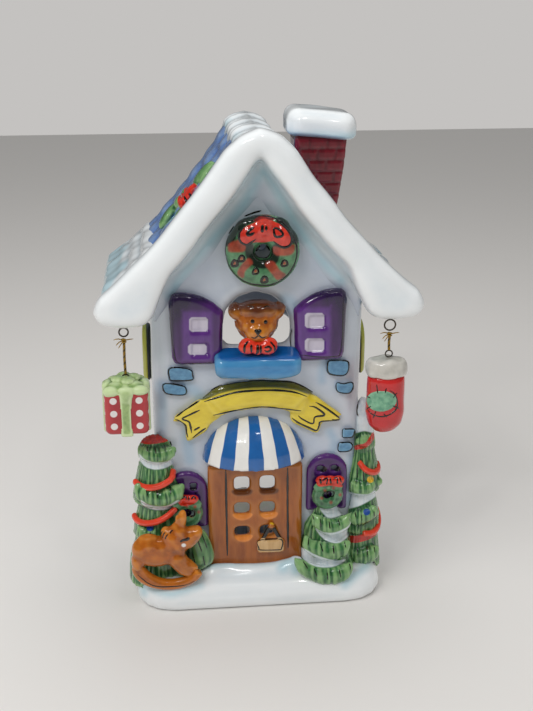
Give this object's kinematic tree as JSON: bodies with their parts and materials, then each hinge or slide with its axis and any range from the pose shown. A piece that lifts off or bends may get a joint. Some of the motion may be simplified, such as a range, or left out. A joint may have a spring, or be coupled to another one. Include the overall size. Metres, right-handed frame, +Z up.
{
  "type": "shop tealight holder",
  "caption": "Glazed ceramic tealight holder shaped like a small snow-covered shop, open at the back, with two charms that hang from wire eyes under the eaves.",
  "frame": {"origin": "on the table under the middle of the whole piece's box", "axes": "+Z up, -Y the shop front with its door, +X to the right seen from the front"},
  "size_m": [0.144, 0.092, 0.2261],
  "materials": {
    "snow": "clear gloss glaze over white with pale blue washes",
    "wall": "clear gloss glaze over pale blue-grey",
    "tile": "clear gloss glaze over mid blue with darker rows",
    "brick": "clear gloss glaze over maroon with brushed courses",
    "green": "clear gloss glaze over streaked greens",
    "purple": "clear gloss glaze over deep purple",
    "sill": "clear gloss glaze over bright blue",
    "bear": "clear gloss glaze over brushed brown",
    "red": "clear gloss glaze over bright red",
    "yellow": "clear gloss glaze over yellow with black brush lines",
    "awning": "clear gloss glaze over blue and white stripes",
    "door": "clear gloss glaze over brushed brown",
    "stone": "clear gloss glaze over washed blue with black outline",
    "lime": "clear gloss glaze over yellow-green",
    "horse": "clear gloss glaze over orange brown",
    "gift": "clear gloss glaze over red with white dots",
    "ribbon": "clear gloss glaze over pale green",
    "cuff": "clear gloss glaze over greyish white",
    "patch": "clear gloss glaze over green with black stitches",
    "wire": "dull aged wire",
    "cord": "twisted gold and black thread",
    "cup": "thin drawn cup, satin",
    "wax": "white paraffin wax",
    "wick": "braided cotton"
  },
  "bodies": {
    "house": {"snow_base": "snow", "front_snow_rim": "snow", "ridge_snow": "snow", "left_eave_snow": "snow", "right_eave_snow": "snow", "chimney_snow_cap": "snow", "house_shell": "wall", "roof_tiles": "tile", "chimney_stack": "brick", "gable_wreath": "green", "left_window_wreath": "green", "right_window_wreath": "green", "roof_holly": "green", "left_tree": "green", "right_tree": "green", "front_tree": "green", "left_shutter": "purple", "right_shutter": "purple", "left_window": "purple", "right_window": "purple", "window_sill": "sill", "teddy_bear": "bear", "bear_bow_tie": "red", "left_tree_upper_garland": "red", "left_tree_lower_garland": "red", "right_tree_upper_garland": "red", "right_tree_lower_garland": "red", "shop_banner": "yellow", "door_sign": "yellow", "door_awning": "awning", "shop_door": "door", "wall_stone_1": "stone", "wall_stone_2": "stone", "wall_stone_3": "stone", "wall_stone_4": "stone", "wall_stone_5": "stone", "wall_stone_6": "stone", "left_side_window": "lime", "right_side_window": "lime", "rocking_horse": "horse", "horse_rocker": "horse", "left_wire_eye": "wire", "right_wire_eye": "wire"},
    "gift_link": {"gift_knot": "cord"},
    "gift_thread": {"gift_cord": "cord"},
    "gift_charm": {"gift_wire_loop": "wire", "gift_box": "gift", "gift_ribbon": "ribbon", "gift_bow": "ribbon"},
    "mitten_link": {"mitten_knot": "cord"},
    "mitten_thread": {"mitten_cord": "cord"},
    "mitten_charm": {"mitten_wire_loop": "wire", "mitten_cuff": "cuff", "mitten_sack": "gift", "mitten_patch": "patch"},
    "tealight": {"tealight_cup": "cup", "wick_sustainer": "cup", "tealight_wax": "wax", "tealight_wick": "wick"}
  },
  "joints": [
    {"name": "gift_swing", "type": "hinge", "parent": "house", "child": "gift_link", "pos_m": [-0.0593, -0.0372, 0.1355], "axis": [1, 0, 0], "range_deg": [-25, 8]},
    {"name": "gift_sway", "type": "hinge", "parent": "gift_link", "child": "gift_thread", "pos_m": [-0.0593, -0.0372, 0.1355], "axis": [0, 1, 0], "range_deg": [-6, 20]},
    {"name": "gift_twist", "type": "hinge", "parent": "gift_thread", "child": "gift_charm", "pos_m": [-0.0593, -0.0372, 0.1355], "axis": [0, 0, 1], "range_deg": [-90, 90]},
    {"name": "mitten_swing", "type": "hinge", "parent": "house", "child": "mitten_link", "pos_m": [0.0579, -0.0372, 0.1345], "axis": [1, 0, 0], "range_deg": [-25, 5]},
    {"name": "mitten_sway", "type": "hinge", "parent": "mitten_link", "child": "mitten_thread", "pos_m": [0.0579, -0.0372, 0.1345], "axis": [0, -1, 0], "range_deg": [-8, 20]},
    {"name": "mitten_twist", "type": "hinge", "parent": "mitten_thread", "child": "mitten_charm", "pos_m": [0.0579, -0.0372, 0.1345], "axis": [0, 0, 1], "range_deg": [-90, 90]},
    {"name": "tealight_slide", "type": "slide", "parent": "house", "child": "tealight", "axis": [0, 1, 0], "range_m": [0, 0.1]}
  ]
}
